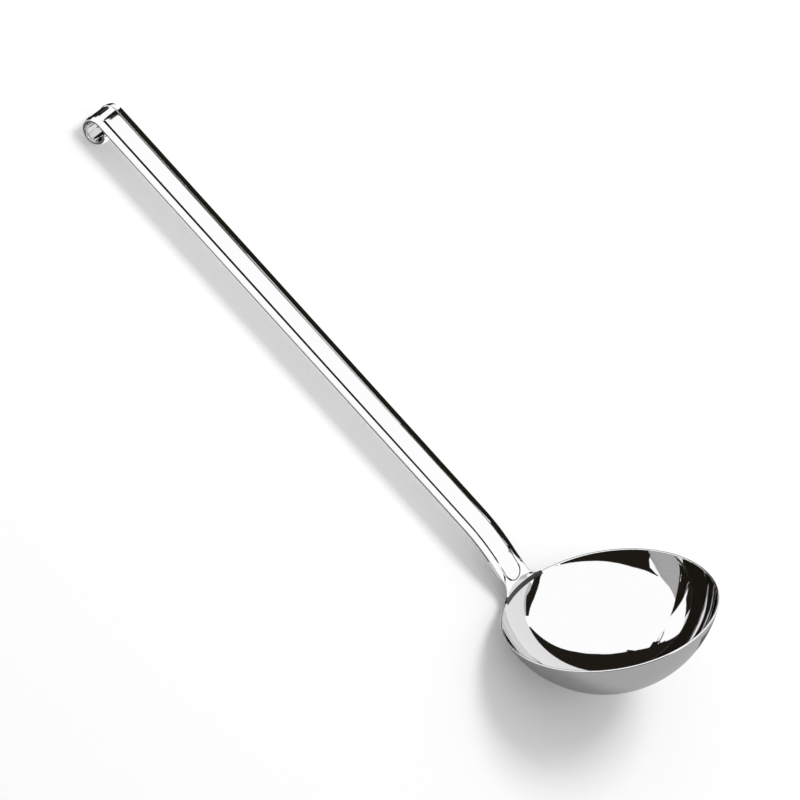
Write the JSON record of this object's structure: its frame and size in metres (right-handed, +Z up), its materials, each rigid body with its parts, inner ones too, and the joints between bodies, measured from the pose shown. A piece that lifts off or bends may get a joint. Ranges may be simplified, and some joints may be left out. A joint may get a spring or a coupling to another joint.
{
  "type": "ladle",
  "caption": "Polished steel ladle: a round bowl shaped like a cap of a sphere on a long fluted strip handle that flares into the rim and curls into a hanging eye.",
  "frame": {"origin": "on the table, under the middle of the ladle's outline as it lies at rest on its bowl and its eye", "axes": "+X along the handle from the bowl to the hanging eye, +Z up from the table, +Y across the handle"},
  "size_m": [0.3647, 0.0996, 0.0763],
  "materials": {
    "polished_steel": "mirror-polished stainless steel",
    "weld_steel": "weld bead, ground and polished over"
  },
  "bodies": {
    "root": {"bowl": "polished_steel", "handle": "polished_steel", "neck_weld": "weld_steel", "eye_weld": "weld_steel"}
  },
  "joints": []
}
